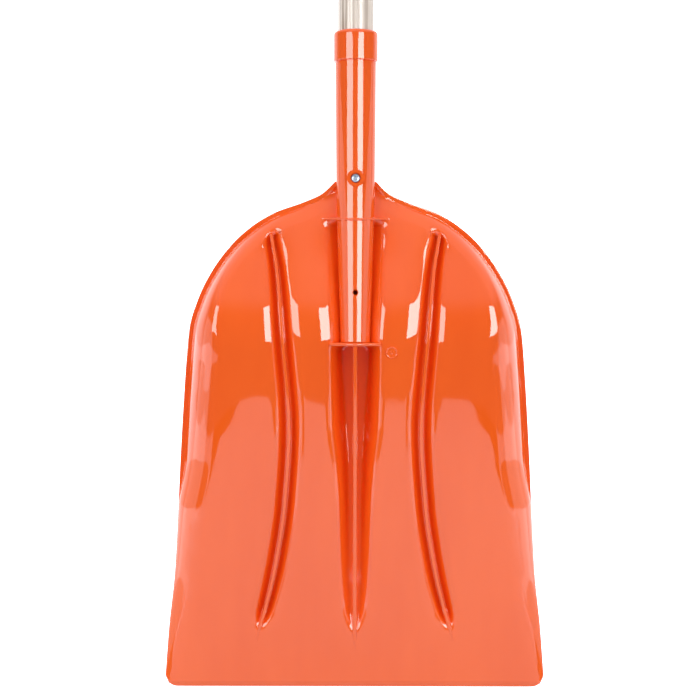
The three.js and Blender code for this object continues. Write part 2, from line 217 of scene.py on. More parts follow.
def groove_depth(x, z):
    width = along(GROOVE_WIDTH, z)
    offset = (abs(x) - along(GROOVE_CENTRE, z)) / width
    if abs(offset) >= 1:
        return 0.0
    top = GROOVE_TOP - GROOVE_SLANT * offset * width
    ends = smooth(z, GROOVE_BOTTOM, GROOVE_BOTTOM + GROOVE_RUN_OUT[0])
    ends *= 1 - smooth(z, top - GROOVE_RUN_OUT[1], top)
    return GROOVE_DEPTH * ends * (1 - smooth(abs(offset), GROOVE_FLOOR, 1.0))


def land_drop(x, z):
    """How far the lands drop from their crests to the groove and to the channel."""
    across = abs(x)
    channel = along(CHANNEL_WIDTH, z)
    inner = along(GROOVE_CENTRE, z) - along(GROOVE_WIDTH, z)
    outer = along(GROOVE_CENTRE, z) + along(GROOVE_WIDTH, z)
    drop = LAND_DROP * smooth(z, *LAND_STARTS) * (1 - smooth(z, *LAND_ENDS))
    if across > outer:
        return drop * max(0.0, 1 - (across - outer) / LAND_RUN) ** 2
    if across >= inner:
        return drop
    if across <= channel:
        return drop * (across / channel) ** 2
    return drop * (2 * (across - channel) / (inner - channel) - 1) ** 2


def side_dish(x, z):
    """The dish of the floor's sides, deeper higher up."""
    out = max(0.0, abs(x) - DISH_FROM) / DISH_RUN
    rise = (min(z, DISH_FULL) / DISH_FULL) ** 2
    return DISH_DEPTH * out ** 2 * rise * (1 - smooth(z, DISH_FULL, DISH_END))


def panel_y(x, z):
    """Middle of the sheet away from the side walls."""
    return floor_y(z) + channel_depth(x, z) + groove_depth(x, z) + land_drop(x, z) + side_dish(x, z)


def corner_lift(x):
    """Height of the bottom corner's arc above the leading edge at x."""
    into = min(CORNER_RADIUS, max(0.0, x - HALF_WIDTH + CORNER_RADIUS))
    return CORNER_RADIUS - math.sqrt(CORNER_RADIUS ** 2 - into ** 2)


# Columns from the centre line out: the channel, the land, the groove, the foot of the wall, its
# sweep up to the lip, and the lip. Each is a feature and a share of it.
CHANNEL_STEPS, LAND_STEPS, GROOVE_STEPS, FOOT_STEPS, SWEEP_STEPS, LIP_STEPS = 16, 6, 16, 9, 14, 3
COLUMNS = (
    [("channel", k / CHANNEL_STEPS) for k in range(CHANNEL_STEPS)]
    + [("land", k / LAND_STEPS) for k in range(LAND_STEPS)]
    + [("groove", k / GROOVE_STEPS) for k in range(GROOVE_STEPS)]
    + [("foot", k / FOOT_STEPS) for k in range(FOOT_STEPS)]
    + [("sweep", k / SWEEP_STEPS) for k in range(SWEEP_STEPS)]
    + [("lip", k / LIP_STEPS) for k in range(LIP_STEPS + 1)]
)
PANEL_STEPS = CHANNEL_STEPS + LAND_STEPS + GROOVE_STEPS + FOOT_STEPS
ROWS = 176


def row_height(row):
    """Rows close up towards the shoulders, where the outline turns."""
    share = row / ROWS
    return NECK_Z * (share + 0.10 * math.sin(math.pi * share) * share)


def sheet_point(row, column):
    """A point of the sheet's middle surface. A row leaves the rim square to the outline."""
    z = row_height(row)
    step = 0.0005
    slope = (along(OUTLINE, z + step) - along(OUTLINE, z - step)) / (2 * step) if z > 0.02 else 0.0
    inward = Vector((-1.0, slope)).normalized()
    low_share = max(0.0, 1 - z / CORNER_RADIUS)
    rim_z = z + low_share ** 2 * CORNER_RADIUS * (1 - math.sqrt(0.5))
    half = along(OUTLINE, z)
    if rim_z < CORNER_RADIUS:
        half -= CORNER_RADIUS - math.sqrt(CORNER_RADIUS ** 2 - (CORNER_RADIUS - rim_z) ** 2)
    flange = flange_width(z)
    run = min(wall_run(z), 0.75 * half - flange)
    rim = Vector((half, z))
    foot = rim + inward * (flange + run)
    feature, share = COLUMNS[column]
    if feature in ("sweep", "lip"):
        tilt = WALL_STEEPEST * share
        if feature == "lip":
            at = rim + inward * (max(flange, 0.0010) * (1 - share))
            y = rim_y(z)
        else:
            at = rim + inward * (max(flange, 0.0010) + run * (1 - math.sin(tilt) / math.sin(WALL_STEEPEST)))
            rise = (1 - math.cos(tilt)) / (1 - math.cos(WALL_STEEPEST))
            y = lerp(panel_y(at.x, at.y), rim_y(z), rise)
        return Vector((at.x, y, at.y + corner_lift(at.x) * low_share ** 2))
    channel = along(CHANNEL_WIDTH, foot.y)
    centre = along(GROOVE_CENTRE, foot.y)
    width = along(GROOVE_WIDTH, foot.y)
    x = {
        "channel": channel * share,
        "land": lerp(channel, centre - width, share),
        "groove": centre - width + 2 * width * share,
        "foot": lerp(centre + width, foot.x, share),
    }[feature]
    x = lerp(x, column / PANEL_STEPS * foot.x, smooth(foot.y, 0.415, 0.450))
    inner = foot.y + 0.1 * (foot.x - x) * smooth(z, 0.400, 0.450)
    return Vector((x, panel_y(x, inner), inner))


def finished(bm, name, angle=40):
    """A mesh object from a bmesh: doubles merged, normals outward, smooth up to an angle."""
    bmesh.ops.remove_doubles(bm, verts=bm.verts[:], dist=1e-6)
    bmesh.ops.recalc_face_normals(bm, faces=bm.faces[:])
    mesh = bpy.data.meshes.new(name)
    bm.to_mesh(mesh)
    bm.free()
    mesh.shade_smooth()
    mesh.set_sharp_from_angle(angle=math.radians(angle))
    obj = bpy.data.objects.new(name, mesh)
    bpy.context.scene.collection.objects.link(obj)
    return obj


def baked(obj):
    """The object's mesh with its modifiers applied."""
    graph = bpy.context.evaluated_depsgraph_get()
    graph.update()
    mesh = bpy.data.meshes.new_from_object(obj.evaluated_get(graph))
    obj.modifiers.clear()
    old = obj.data
    obj.data = mesh
    bpy.data.meshes.remove(old)
    return obj


def join_or_cut(obj, others, operation):
    """Joins other solids to the object, or cuts them out of it, and removes them."""
    for other in others:
        modifier = obj.modifiers.new(operation.title(), "BOOLEAN")
        modifier.operation = operation
        modifier.solver = "MANIFOLD"
        modifier.object = other
    baked(obj)
    for other in others:
        bpy.data.objects.remove(other)
    return obj


def lathed(profile, steps, place, name, angle=40):
    """A solid of revolution about its own Z, from (radius, height) points, set at a place."""
    bm = bmesh.new()
    verts = [bm.verts.new((radius, 0.0, height)) for radius, height in profile]
    for first, second in zip(verts, verts[1:]):
        bm.edges.new((first, second))
    bmesh.ops.spin(
        bm, geom=bm.verts[:] + bm.edges[:], cent=(0, 0, 0), axis=(0, 0, 1), dvec=(0, 0, 0),
        angle=2 * math.pi, steps=steps, use_merge=True,
    )
    bmesh.ops.transform(bm, matrix=place, verts=bm.verts[:])
    return finished(bm, name, angle)


def turned(profile, steps, name):
    """A solid of revolution on the socket's axis, from (radius, distance) points."""
    return lathed(profile, steps, SOCKET_FRAME, name)


def crossing(radius, distance, start, end, name, segments=48):
    """A round bar square to the socket's axis, between two distances from it."""
    bm = bmesh.new()
    place = Matrix.Translation((0, (start + end) / 2, distance)) @ Matrix.Rotation(math.pi / 2, 4, "X")
    bmesh.ops.create_cone(
        bm, cap_ends=True, segments=segments, radius1=radius, radius2=radius,
        depth=end - start, matrix=SOCKET_FRAME @ place,
    )
    return finished(bm, name)


def arc(radius, centre, start, end, steps):
    angles = [lerp(start, end, k / steps) for k in range(steps + 1)]
    return [(centre[0] + radius * math.cos(a), centre[1] + radius * math.sin(a)) for a in angles]


def build_sheet():
    """The moulded sheet: half a grid laid on the middle surface, mirrored and thickened."""
    bm = bmesh.new()
    columns = len(COLUMNS) - 1
    bmesh.ops.create_grid(bm, x_segments=columns, y_segments=ROWS, size=0.5)
    for vert in bm.verts:
        column = round((vert.co.x + 0.5) * columns)
        row = round((vert.co.y + 0.5) * ROWS)
        vert.co = sheet_point(row, column)
    bmesh.ops.mirror(bm, geom=bm.verts[:] + bm.edges[:] + bm.faces[:], axis="X", merge_dist=1e-6)
    sheet = finished(bm, "blade")
    solid = sheet.modifiers.new("Wall", "SOLIDIFY")
    solid.thickness = WALL
    solid.offset = 0
    solid.use_even_offset = True
    baked(sheet)
    bm = bmesh.new()
    bm.from_mesh(sheet.data)
    for height in (EDGE_BEVEL_HEIGHT, EDGE_BEVEL_HEIGHT * 0.15):
        geometry = bm.verts[:] + bm.edges[:] + bm.faces[:]
        bmesh.ops.bisect_plane(bm, geom=geometry, dist=1e-6, plane_co=(0, 0, height), plane_no=(0, 0, 1))
    for vert in bm.verts:
        if vert.co.z < EDGE_BEVEL_HEIGHT and vert.co.y < 0:
            vert.co.y += EDGE_BEVEL_DEPTH * (1 - max(vert.co.z, 0.0) / EDGE_BEVEL_HEIGHT)
    bm.to_mesh(sheet.data)
    bm.free()
    rounding = sheet.modifiers.new("Edges", "BEVEL")
    rounding.width = 0.0012
    rounding.segments = 3
    rounding.limit_method = "ANGLE"
    rounding.angle_limit = math.radians(50)
    rounding.harden_normals = False
    return baked(sheet)


def loft(steps, around, place, name):
    """A closed solid whose sections place(step, share) run round a loop, with its ends filled."""
    bm = bmesh.new()
    bmesh.ops.create_grid(bm, x_segments=around, y_segments=steps, size=0.5)
    for vert in bm.verts:
        step = round((vert.co.y + 0.5) * steps)
        vert.co = place(step / steps, (round((vert.co.x + 0.5) * around) % around) / around)
    bmesh.ops.remove_doubles(bm, verts=bm.verts[:], dist=1e-7)
    ends = [edge for edge in bm.edges if edge.is_boundary]
    bmesh.ops.holes_fill(bm, edges=ends, sides=0)
    return finished(bm, name, angle=50)


def rib_section(half, height, root, share):
    """A rib's section at a share of its loop: (across, out). Its foot flares into the sheet."""
    flare = 0.0008
    side = 1 if share < 0.5 else -1
    t = 2 * share if share < 0.5 else 2 * (1 - share)
    edge = half * 0.3
    if t < 0.15:
        return side * (half - edge) * t / 0.15, height
    if t < 0.35:
        angle = (t - 0.15) / 0.2 * math.pi / 2
        return side * (half - edge * (1 - math.sin(angle))), height - edge * (1 - math.cos(angle))
    if t < 0.6:
        return side * half, lerp(height - edge, flare, (t - 0.35) / 0.25)
    angle = (t - 0.6) / 0.3 * math.pi / 2
    if t <= 0.9:
        return side * (half + flare * (1 - math.cos(angle))), flare * (1 - math.sin(angle))
    return side * (half + flare), -root


def rib(line, start, end, thickness, name):
    """A thin wall standing in the sheet along x = line(z), its crest just proud of the back."""
    steps, around = 90, 40
    root = WALL * 0.4

    def place(along_share, loop_share):
        z = lerp(start, end, along_share)
        x = line(z)
        taper = smooth(z, start, start + 0.018)
        crest = floor_y(z) - WALL / 2 - 0.001 * taper + 0.0006 * (1 - taper)
        half = thickness / 2 * (0.55 + 0.45 * taper)
        foot = panel_y(x, z) - WALL / 2
        height = max(foot - crest, 0.0002)
        across, out = rib_section(half, max(height, half), root, loop_share)
        scale = min(1.0, height / max(height, half))
        at = x + across
        base = panel_y(at, z) - WALL / 2
        side_base = lerp(base, foot, smooth(out, 0.0, 0.004))
        return Vector((at, side_base - out * scale, z))

    return loft(steps, around, place, name)


def fin(z, thickness, reach, ring_reach, name):
    """A level fin across the channel, its front edge running over the socket as a ring."""
    steps, around = 64, 24
    ring = along(SOCKET_RADIUS, socket_distance(z)) + 0.001
    edge = floor_y(z) - WALL / 2 + 0.0004

    def front(x):
        over = socket_y(z) - math.sqrt(ring ** 2 - min(abs(x), ring_reach) ** 2)
        out = (abs(x) - ring_reach) / (reach - ring_reach)
        return over if out <= 0 else lerp(over, edge, smooth(out, -0.25, 1.1))

    def place(along_share, loop_share):
        x = lerp(-reach, reach, along_share)
        tip = front(x)
        foot = max(panel_y(x, z) + WALL * 0.25, tip + 0.001)
        half = thickness / 2
        side = 1 if loop_share < 0.5 else -1
        t = 2 * loop_share if loop_share < 0.5 else 2 * (1 - loop_share)
        if t < 0.4:
            angle = t / 0.4 * math.pi / 2
            return Vector((x, tip + half * (1 - math.cos(angle)), z + side * half * math.sin(angle)))
        return Vector((x, lerp(tip + half, foot, (t - 0.4) / 0.6), z + side * half))

    return loft(steps, around, place, name)


def socket_outer():
    """The socket's outer (radius, distance) profile, ending inside its mouth."""
    step = SOCKET_LENGTH - COLLAR_LENGTH
    rounding = 0.0035
    top = (COLLAR_RADIUS - rounding, SOCKET_LENGTH - rounding)
    cone = [(along(SOCKET_RADIUS, d), d) for d in [0.006 + 0.012 * k for k in range(24)]]
    return (
        [(0.0, 0.0), (SOCKET_RADIUS[0][1] - 0.001, 0.0), (SOCKET_RADIUS[0][1], 0.001)]
        + cone
        + [(0.0208, step - 0.003), (0.0208, step - 0.0009), (0.0204, step - 0.0005), (0.0204, step)]
        + arc(0.0003, (COLLAR_RADIUS - 0.0003, step + 0.0003), -math.pi / 2, 0.0, 3)
        + [(COLLAR_RADIUS, step + 0.0012), (COLLAR_RADIUS, top[1] - 0.0006)]
        + arc(rounding, top, 0.0, math.pi / 2, 10)
    )


def countersink(distance, radius, name):
    """A shallow cone that opens a hole's mouth on the socket's back."""
    back = -along(SOCKET_RADIUS, distance)
    place = Matrix.Translation((0, back, distance)) @ Matrix.Rotation(math.pi / 2, 4, "X")
    profile = [(0.0, -0.0022), (0.0015, -0.0022), (radius, 0.0), (radius + 0.0004, 0.0020), (0.0, 0.0020)]
    return lathed(profile, 40, SOCKET_FRAME @ place, name)


def build_socket():
    """The socket with its collar, screw boss, counterbore, spare hole and bore."""
    gap = 0.0003
    lip = HANDLE_RADIUS + gap
    bore = [(lip, SOCKET_LENGTH - 0.0006), (lip, HANDLE_SEAT[-1][0])]
    bore += [(radius + gap, distance) for distance, radius in reversed(HANDLE_SEAT[:-1])]
    bore += [(SOCKET_RADIUS[0][1] - 0.003, 0.006), (0.0, 0.006)]
    outer = socket_outer()
    outer[-1] = (lip + 0.0006, SOCKET_LENGTH)
    socket = turned(outer + bore, 96, "socket")
    face = -along(SOCKET_RADIUS, SCREW_AT) - BOSS_PROUD
    boss = crossing(BOSS_RADIUS, SCREW_AT, face, -0.0175, "boss")
    join_or_cut(socket, [boss], "UNION")
    cutters = [
        crossing(0.0053, SCREW_AT, face - 0.005, face + 0.0027, "counterbore"),
        crossing(0.0025, SCREW_AT, face - 0.005, 0.0, "screw_hole"),
        crossing(0.00225, SPARE_HOLE_AT, face - 0.005, 0.0, "spare_hole"),
        countersink(SPARE_HOLE_AT, 0.0032, "spare_countersink"),
    ]
    return join_or_cut(socket, cutters, "DIFFERENCE")


def socket_core():
    """What is cut out of the sheet and the fins where the socket passes: half its wall in."""
    inset = 0.0013
    wall = [(radius - inset, max(distance, 0.003)) for distance, radius in SOCKET_RADIUS]
    profile = [(0.0, 0.003)] + wall + [(0.0, SOCKET_RADIUS[-1][0])]
    return turned(profile, 96, "core")


def gate_mark():
    """The small raised ring that the mould's gate leaves on the back."""
    x, z = 0.0368, 0.341
    back = floor_y(z) - WALL / 2
    profile = [
        (0.0, -0.0010), (0.0059, -0.0010), (0.0059, 0.0004), (0.0056, 0.0007), (0.0050, 0.0007),
        (0.0046, 0.0004), (0.0044, 0.0001), (0.0022, 0.0001), (0.0018, 0.0005), (0.0009, 0.0006),
        (0.0, 0.0006),
    ]
    place = Matrix.Translation((x, back, z)) @ Matrix.Rotation(math.pi / 2, 4, "X")
    return lathed(profile, 48, place, "gate")


def ride_and_finish(obj, nodes, material):
    """Give a finished piece its material, its body and its place in the part."""
    obj.data.materials.clear()
    obj.data.materials.append(material)
    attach(obj, "root")
    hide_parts(*nodes)


def plastic_material(base, shade):
    """Glossy moulded plastic: even colour with faint flow marks, a soft ripple and fine scuffs."""
    material = bpy.data.materials.new("moulded_orange")
    material.use_nodes = True
    tree = material.node_tree
    tree.nodes.clear()

    output = tree.nodes.new("ShaderNodeOutputMaterial")
    output.label = "Blade surface"
    shader = tree.nodes.new("ShaderNodeBsdfPrincipled")
    shader.label = "Glossy plastic"
    place = tree.nodes.new("ShaderNodeTexCoord")
    place.label = "Place on the blade"

    flow_map = tree.nodes.new("ShaderNodeMapping")
    flow_map.label = "Flow runs up the blade"
    flow = tree.nodes.new("ShaderNodeTexNoise")
    flow.label = "Flow marks"
    tint = tree.nodes.new("ShaderNodeValToRGB")
    tint.label = "Orange and its deeper shade"

    ripple = tree.nodes.new("ShaderNodeTexNoise")
    ripple.label = "Sink and ripple of the moulding"
    ripple_bump = tree.nodes.new("ShaderNodeBump")
    ripple_bump.label = "Soft ripple"
    peel = tree.nodes.new("ShaderNodeTexNoise")
    peel.label = "Fine texture of the mould"
    peel_bump = tree.nodes.new("ShaderNodeBump")
    peel_bump.label = "Fine texture"

    scuff_map = tree.nodes.new("ShaderNodeMapping")
    scuff_map.label = "Scuffs run across"
    scuff = tree.nodes.new("ShaderNodeTexNoise")
    scuff.label = "Handling scuffs"
    scuff_range = tree.nodes.new("ShaderNodeMapRange")
    scuff_range.label = "Only the strongest scuffs"
    rough = tree.nodes.new("ShaderNodeMapRange")
    rough.label = "Polish and its wear"

    colour_frame = tree.nodes.new("NodeFrame")
    colour_frame.label = "Colour"
    relief_frame = tree.nodes.new("NodeFrame")
    relief_frame.label = "Relief"
    wear_frame = tree.nodes.new("NodeFrame")
    wear_frame.label = "Wear"
    for node in (flow_map, flow, tint):
        node.parent = colour_frame
    for node in (ripple, ripple_bump, peel, peel_bump):
        node.parent = relief_frame
    for node in (scuff_map, scuff, scuff_range, rough):
        node.parent = wear_frame

    output.location = (900, 0)
    shader.location = (600, 0)
    place.location = (-900, 0)
    flow_map.location = (-600, 300)
    flow.location = (-400, 300)
    tint.location = (-150, 300)
    ripple.location = (-400, -350)
    ripple_bump.location = (-100, -350)
    peel.location = (-400, -600)
    peel_bump.location = (150, -450)
    scuff_map.location = (-600, 0)
    scuff.location = (-400, 0)
    scuff_range.location = (-150, 0)
    rough.location = (100, 0)

    flow_map.inputs["Scale"].default_value = (9.0, 9.0, 2.5)
    flow.inputs["Scale"].default_value = 1.6
    flow.inputs["Detail"].default_value = 3.0
    flow.inputs["Roughness"].default_value = 0.55
    tint.color_ramp.elements[0].position = 0.35
    tint.color_ramp.elements[0].color = (*shade, 1.0)
    tint.color_ramp.elements[1].position = 0.62
    tint.color_ramp.elements[1].color = (*base, 1.0)

    ripple.inputs["Scale"].default_value = 14.0
    ripple.inputs["Detail"].default_value = 1.0
    ripple_bump.inputs["Strength"].default_value = 1.0
    ripple_bump.inputs["Distance"].default_value = 0.00035
    peel.inputs["Scale"].default_value = 420.0
    peel.inputs["Detail"].default_value = 2.0
    peel_bump.inputs["Strength"].default_value = 0.35
    peel_bump.inputs["Distance"].default_value = 0.0000015

    scuff_map.inputs["Rotation"].default_value = (0.0, math.radians(35), 0.0)
    scuff_map.inputs["Scale"].default_value = (260.0, 40.0, 14.0)
    scuff.inputs["Scale"].default_value = 1.0
    scuff.inputs["Detail"].default_value = 4.0
    scuff.inputs["Roughness"].default_value = 0.6
    scuff_range.inputs["From Min"].default_value = 0.66
    scuff_range.inputs["From Max"].default_value = 0.78
    rough.inputs["To Min"].default_value = 0.03
    rough.inputs["To Max"].default_value = 0.22
    shader.inputs["IOR"].default_value = 1.5
    shader.inputs["Specular IOR Level"].default_value = 0.5

    tree.links.new(place.outputs["Object"], flow_map.inputs["Vector"])
    tree.links.new(flow_map.outputs["Vector"], flow.inputs["Vector"])
    tree.links.new(flow.outputs["Fac"], tint.inputs["Fac"])
    tree.links.new(tint.outputs["Color"], shader.inputs["Base Color"])
    tree.links.new(place.outputs["Object"], ripple.inputs["Vector"])
    tree.links.new(ripple.outputs["Fac"], ripple_bump.inputs["Height"])
    tree.links.new(place.outputs["Object"], peel.inputs["Vector"])
    tree.links.new(peel.outputs["Fac"], peel_bump.inputs["Height"])
    tree.links.new(ripple_bump.outputs["Normal"], peel_bump.inputs["Normal"])
    tree.links.new(peel_bump.outputs["Normal"], shader.inputs["Normal"])
    tree.links.new(place.outputs["Object"], scuff_map.inputs["Vector"])
    tree.links.new(scuff_map.outputs["Vector"], scuff.inputs["Vector"])
    tree.links.new(scuff.outputs["Fac"], scuff_range.inputs["Value"])
    tree.links.new(scuff_range.outputs["Result"], rough.inputs["Value"])
    tree.links.new(rough.outputs["Result"], shader.inputs["Roughness"])
    tree.links.new(shader.outputs["BSDF"], output.inputs["Surface"])
    return material


def wood_material(pale, streak):
    """Varnished ash: long grain with open pores and streaks along the handle, under a thin varnish."""
    material = bpy.data.materials.new("varnished_ash")
    material.use_nodes = True
    tree = material.node_tree
    tree.nodes.clear()

    output = tree.nodes.new("ShaderNodeOutputMaterial")
    output.label = "Handle surface"
    shader = tree.nodes.new("ShaderNodeBsdfPrincipled")
    shader.label = "Varnished wood"
    place = tree.nodes.new("ShaderNodeTexCoord")
    place.label = "Place on the handle"
    upright = tree.nodes.new("ShaderNodeMapping")
    upright.label = "Stand the handle upright"

    ring_map = tree.nodes.new("ShaderNodeMapping")
    ring_map.label = "Stretch the growth rings"
    ring_warp = tree.nodes.new("ShaderNodeTexNoise")
    ring_warp.label = "Wander of the rings"
    ring_mix = tree.nodes.new("ShaderNodeMix")
    ring_mix.label = "Bend the rings"
    rings = tree.nodes.new("ShaderNodeTexWave")
    rings.label = "Growth rings"
    ring_colour = tree.nodes.new("ShaderNodeValToRGB")
    ring_colour.label = "Pale and darker wood"

    pore_map = tree.nodes.new("ShaderNodeMapping")
    pore_map.label = "Stretch the pores"
    pores = tree.nodes.new("ShaderNodeTexNoise")
    pores.label = "Open pores"
    pore_range = tree.nodes.new("ShaderNodeMapRange")
    pore_range.label = "Fine dark dashes"
    pore_mix = tree.nodes.new("ShaderNodeMix")
    pore_mix.label = "Darken the pores"

    streak_map = tree.nodes.new("ShaderNodeMapping")
    streak_map.label = "Stretch the streaks"
    streaks = tree.nodes.new("ShaderNodeTexNoise")
    streaks.label = "Brown streaks"
    streak_range = tree.nodes.new("ShaderNodeMapRange")
    streak_range.label = "A few streaks"
    streak_mix = tree.nodes.new("ShaderNodeMix")
    streak_mix.label = "Lay the streaks over"

    rough = tree.nodes.new("ShaderNodeMapRange")
    rough.label = "Varnish thinner over pores"
    bump = tree.nodes.new("ShaderNodeBump")
    bump.label = "Grain felt through the varnish"

    ring_frame = tree.nodes.new("NodeFrame")
    ring_frame.label = "Growth rings"
    pore_frame = tree.nodes.new("NodeFrame")
    pore_frame.label = "Pores"
    streak_frame = tree.nodes.new("NodeFrame")
    streak_frame.label = "Streaks"
    varnish_frame = tree.nodes.new("NodeFrame")
    varnish_frame.label = "Varnish"
    for node in (ring_map, ring_warp, ring_mix, rings, ring_colour):
        node.parent = ring_frame
    for node in (pore_map, pores, pore_range, pore_mix):
        node.parent = pore_frame
    for node in (streak_map, streaks, streak_range, streak_mix):
        node.parent = streak_frame
    for node in (rough, bump):
        node.parent = varnish_frame

    output.location = (1300, 0)
    shader.location = (1000, 0)
    place.location = (-1500, 0)
    upright.location = (-1300, 0)
    ring_map.location = (-1050, 400)
    ring_warp.location = (-850, 250)
    ring_mix.location = (-600, 400)
    rings.location = (-400, 400)
    ring_colour.location = (-150, 400)
    pore_map.location = (-1050, -50)
    pores.location = (-800, -50)
    pore_range.location = (-550, -50)
    pore_mix.location = (200, 250)
    streak_map.location = (-1050, -450)
    streaks.location = (-800, -450)
    streak_range.location = (-550, -450)
    streak_mix.location = (500, 200)
    rough.location = (500, -150)
    bump.location = (700, -350)

    upright.vector_type = "POINT"
    upright.inputs["Rotation"].default_value = (SOCKET_LEAN, 0.0, 0.0)
    ring_map.inputs["Location"].default_value = (0.020, 0.035, 0.0)
    ring_map.inputs["Scale"].default_value = (1.0, 1.0, 0.035)
    ring_warp.inputs["Scale"].default_value = 38.0
    ring_warp.inputs["Detail"].default_value = 2.0
    ring_mix.data_type = "VECTOR"
    ring_mix.inputs["Factor"].default_value = 0.012
    rings.wave_type = "RINGS"
    rings.rings_direction = "Z"
    rings.inputs["Scale"].default_value = 70.0
    rings.inputs["Distortion"].default_value = 1.2
    rings.inputs["Detail"].default_value = 2.0
    rings.inputs["Detail Scale"].default_value = 1.5
    ring_colour.color_ramp.elements[0].position = 0.25
    ring_colour.color_ramp.elements[0].color = (*pale, 1.0)
    ring_colour.color_ramp.elements[1].position = 0.95
    ring_colour.color_ramp.elements[1].color = (*[lerp(p, s, 0.45) for p, s in zip(pale, streak)], 1.0)

    pore_map.inputs["Scale"].default_value = (1400.0, 1400.0, 38.0)
    pores.inputs["Scale"].default_value = 1.0
    pores.inputs["Detail"].default_value = 2.0
    pore_range.inputs["From Min"].default_value = 0.60
    pore_range.inputs["From Max"].default_value = 0.74
    pore_range.inputs["To Max"].default_value = 0.55
    pore_mix.data_type = "RGBA"
    pore_mix.inputs["B"].default_value = (*streak, 1.0)

    streak_map.inputs["Scale"].default_value = (240.0, 240.0, 7.0)
    streaks.inputs["Scale"].default_value = 1.0
    streaks.inputs["Detail"].default_value = 3.0
    streak_range.inputs["From Min"].default_value = 0.50
    streak_range.inputs["From Max"].default_value = 0.72
    streak_mix.data_type = "RGBA"
    streak_mix.inputs["B"].default_value = (*streak, 1.0)

    rough.inputs["To Min"].default_value = 0.26
    rough.inputs["To Max"].default_value = 0.42
    bump.inputs["Strength"].default_value = 0.5
    bump.inputs["Distance"].default_value = 0.00008
    bump.invert = True
    shader.inputs["IOR"].default_value = 1.5
    shader.inputs["Coat Weight"].default_value = 0.35
    shader.inputs["Coat Roughness"].default_value = 0.18

    tree.links.new(place.outputs["Object"], upright.inputs["Vector"])
    tree.links.new(upright.outputs["Vector"], ring_map.inputs["Vector"])
    tree.links.new(ring_map.outputs["Vector"], ring_warp.inputs["Vector"])
    tree.links.new(ring_map.outputs["Vector"], ring_mix.inputs["A"])
    tree.links.new(ring_warp.outputs["Color"], ring_mix.inputs["B"])
    tree.links.new(ring_mix.outputs["Result"], rings.inputs["Vector"])
    tree.links.new(rings.outputs["Fac"], ring_colour.inputs["Fac"])
    tree.links.new(upright.outputs["Vector"], pore_map.inputs["Vector"])
    tree.links.new(pore_map.outputs["Vector"], pores.inputs["Vector"])
    tree.links.new(pores.outputs["Fac"], pore_range.inputs["Value"])
    tree.links.new(pore_range.outputs["Result"], pore_mix.inputs["Factor"])
    tree.links.new(ring_colour.outputs["Color"], pore_mix.inputs["A"])
    tree.links.new(upright.outputs["Vector"], streak_map.inputs["Vector"])
    tree.links.new(streak_map.outputs["Vector"], streaks.inputs["Vector"])
    tree.links.new(streaks.outputs["Fac"], streak_range.inputs["Value"])
    tree.links.new(streak_range.outputs["Result"], streak_mix.inputs["Factor"])
    tree.links.new(pore_mix.outputs["Result"], streak_mix.inputs["A"])
    tree.links.new(streak_mix.outputs["Result"], shader.inputs["Base Color"])
    tree.links.new(pore_range.outputs["Result"], rough.inputs["Value"])
    tree.links.new(rough.outputs["Result"], shader.inputs["Roughness"])
    tree.links.new(pore_range.outputs["Result"], bump.inputs["Height"])
    tree.links.new(bump.outputs["Normal"], shader.inputs["Normal"])
    tree.links.new(shader.outputs["BSDF"], output.inputs["Surface"])
    return material


